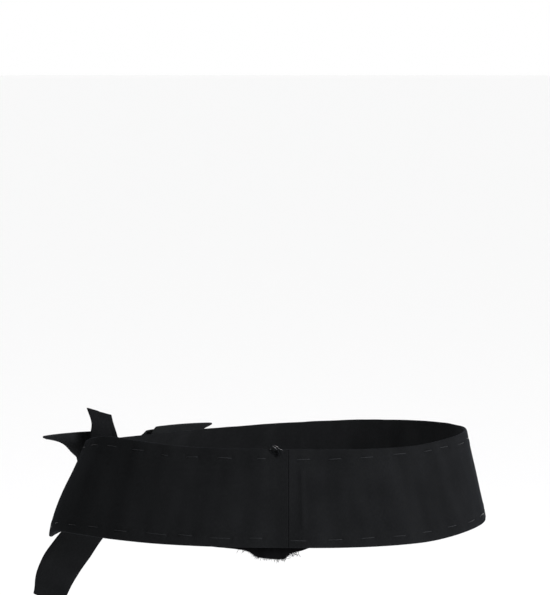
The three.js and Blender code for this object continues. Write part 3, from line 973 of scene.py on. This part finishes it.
for name, stations, reach, rise, seed in (
    ("bow_tail_upper", UPPER_TAIL_STATIONS, UPPER_TAIL_REACH, UPPER_TAIL_RISE, 71),
    ("bow_tail_lower", LOWER_TAIL_STATIONS, LOWER_TAIL_REACH, LOWER_TAIL_DROP, 73),
):
    shares = edged(0, 1, 1 / 90, (0.0, 0.002, 0.005, 0.01, 0.018))
    columns = edged(0, 1, 1 / 34, (0.0, 0.003, 0.01, 0.022, 0.04))
    made = wall(
        f"{name}_cloth", tail_surface(stations, reach, rise), shares, columns, BOW_WALL,
        tail_relief(seed),
    )
    dress(made, shaded_tail_cloth, [name])
    declare_sheet(made)


def squared(value):
    """Brings a sine or cosine nearer to a square's corners."""
    return np.sign(value) * np.abs(value) ** (2 / KNOT_SQUARENESS)


def knot_surface(turn, side):
    turn, side = np.broadcast_arrays(np.asarray(turn, float), np.asarray(side, float))
    angle = turn * 2 * math.pi
    narrowing = 1 - KNOT_NARROWING * side * side
    rise = KNOT_HALF_HEIGHT * narrowing * squared(np.cos(angle))
    off = KNOT_BACK + KNOT_DEPTH / 2 * narrowing * (1 + squared(np.sin(angle)))
    return bow_point(side * KNOT_LENGTH / 2, rise, off)


def knot_relief(u, v, along_u, along_v):
    """Folds that run round the knot, fading at its back."""
    front = smoothstep(np.sin(2 * math.pi * u), -0.2, 0.5)
    wander = 0.25 * np.sin(2 * math.pi * u + 0.5)
    folds = 0.75 * np.cos(3 * math.pi * (v + 0.12 * wander))
    creases = 0.25 * np.cos(7 * math.pi * v + 2 * wander)
    return front * (folds + creases - 0.35)


KNOT_ROWS = 120
knot_turns = (np.arange(KNOT_ROWS) + 0.5) / KNOT_ROWS
knot = wall(
    "bow_knot_cloth", knot_surface, knot_turns, ribbon_columns(1 / 44), KNOT_WALL, knot_relief, ring=True,
    middle=-KNOT_WALL / 2,
)
dress(knot, lit_bow_cloth, ["bow_knot"])
declare_sheet(knot)


# The room, the lights and the camera.
WHITE, COOL_WHITE = (1.0, 1.0, 1.0), (0.94, 0.93, 1.0)


def area_light(name, place, size, power, colour):
    """A square light that faces the middle of the belt."""
    data = bpy.data.lights.new(name, "AREA")
    data.shape, data.size, data.energy, data.color = "SQUARE", size, power, colour
    made = bpy.data.objects.new(name, data)
    made.location = place
    made.rotation_euler = (-Vector(place)).to_track_quat("-Z", "Y").to_euler()
    bpy.context.scene.collection.objects.link(made)


area_light("key", (1.5, -1.8, 2.3), 1.3, 160, COOL_WHITE)
area_light("low_right", (2.4, -1.8, 0.4), 1.0, 146, COOL_WHITE)
area_light("front", (0.5, 2.9, 0.25), 1.0, 450, WHITE)

world = bpy.data.worlds.new("studio")
world.use_nodes = True
world.node_tree.nodes["Background"].inputs["Color"].default_value = (*WHITE, 1.0)
world.node_tree.nodes["Background"].inputs["Strength"].default_value = 1.0
bpy.context.scene.world = world

FLOOR_REACH = 400
FLOOR_LEVEL = -1.05
floor_corners = [(x * FLOOR_REACH, y * FLOOR_REACH, FLOOR_LEVEL)
                 for x, y in ((-1, -1), (1, -1), (1, 1), (-1, 1))]
floor_mesh = bpy.data.meshes.new("floor")
floor_mesh.from_pydata(floor_corners, [], [(0, 1, 2, 3)])
floor = bpy.data.objects.new("floor", floor_mesh)
bpy.context.scene.collection.objects.link(floor)
paint = Nodes("pale_floor")
mottle = paint.noise(paint.node("ShaderNodeTexCoord", output="Object"), 3.0)
paint.set(Base_Color=(0.94, 0.94, 0.94, 1.0), Roughness=paint.varied(mottle, 0.75, 0.85))
floor_mesh.materials.append(paint.material)

CAMERA_DISTANCE = 2.0
CAMERA_ELEVATION = math.radians(8)
FOCAL_PIXELS = 2941
IMAGE_WIDTH, IMAGE_HEIGHT = 550, 595
ORIGIN_PIXEL = (272, 477)
SENSOR_HEIGHT = 36
camera_data = bpy.data.cameras.new("camera")
camera_data.sensor_fit = "VERTICAL"
camera_data.sensor_height = SENSOR_HEIGHT
camera_data.lens = FOCAL_PIXELS * SENSOR_HEIGHT / IMAGE_HEIGHT
camera_data.clip_end = 2.5 * FLOOR_REACH
camera = bpy.data.objects.new("camera", camera_data)
camera.location = (
    0, -CAMERA_DISTANCE * math.cos(CAMERA_ELEVATION), CAMERA_DISTANCE * math.sin(CAMERA_ELEVATION)
)
pitch = -CAMERA_ELEVATION + math.atan((ORIGIN_PIXEL[1] - IMAGE_HEIGHT / 2) / FOCAL_PIXELS)
yaw = -math.atan((IMAGE_WIDTH / 2 - ORIGIN_PIXEL[0]) / FOCAL_PIXELS)
camera.rotation_euler = Euler((math.pi / 2 + pitch, 0, yaw))
bpy.context.scene.collection.objects.link(camera)
bpy.context.scene.camera = camera
bpy.context.scene.view_settings.view_transform = "Standard"
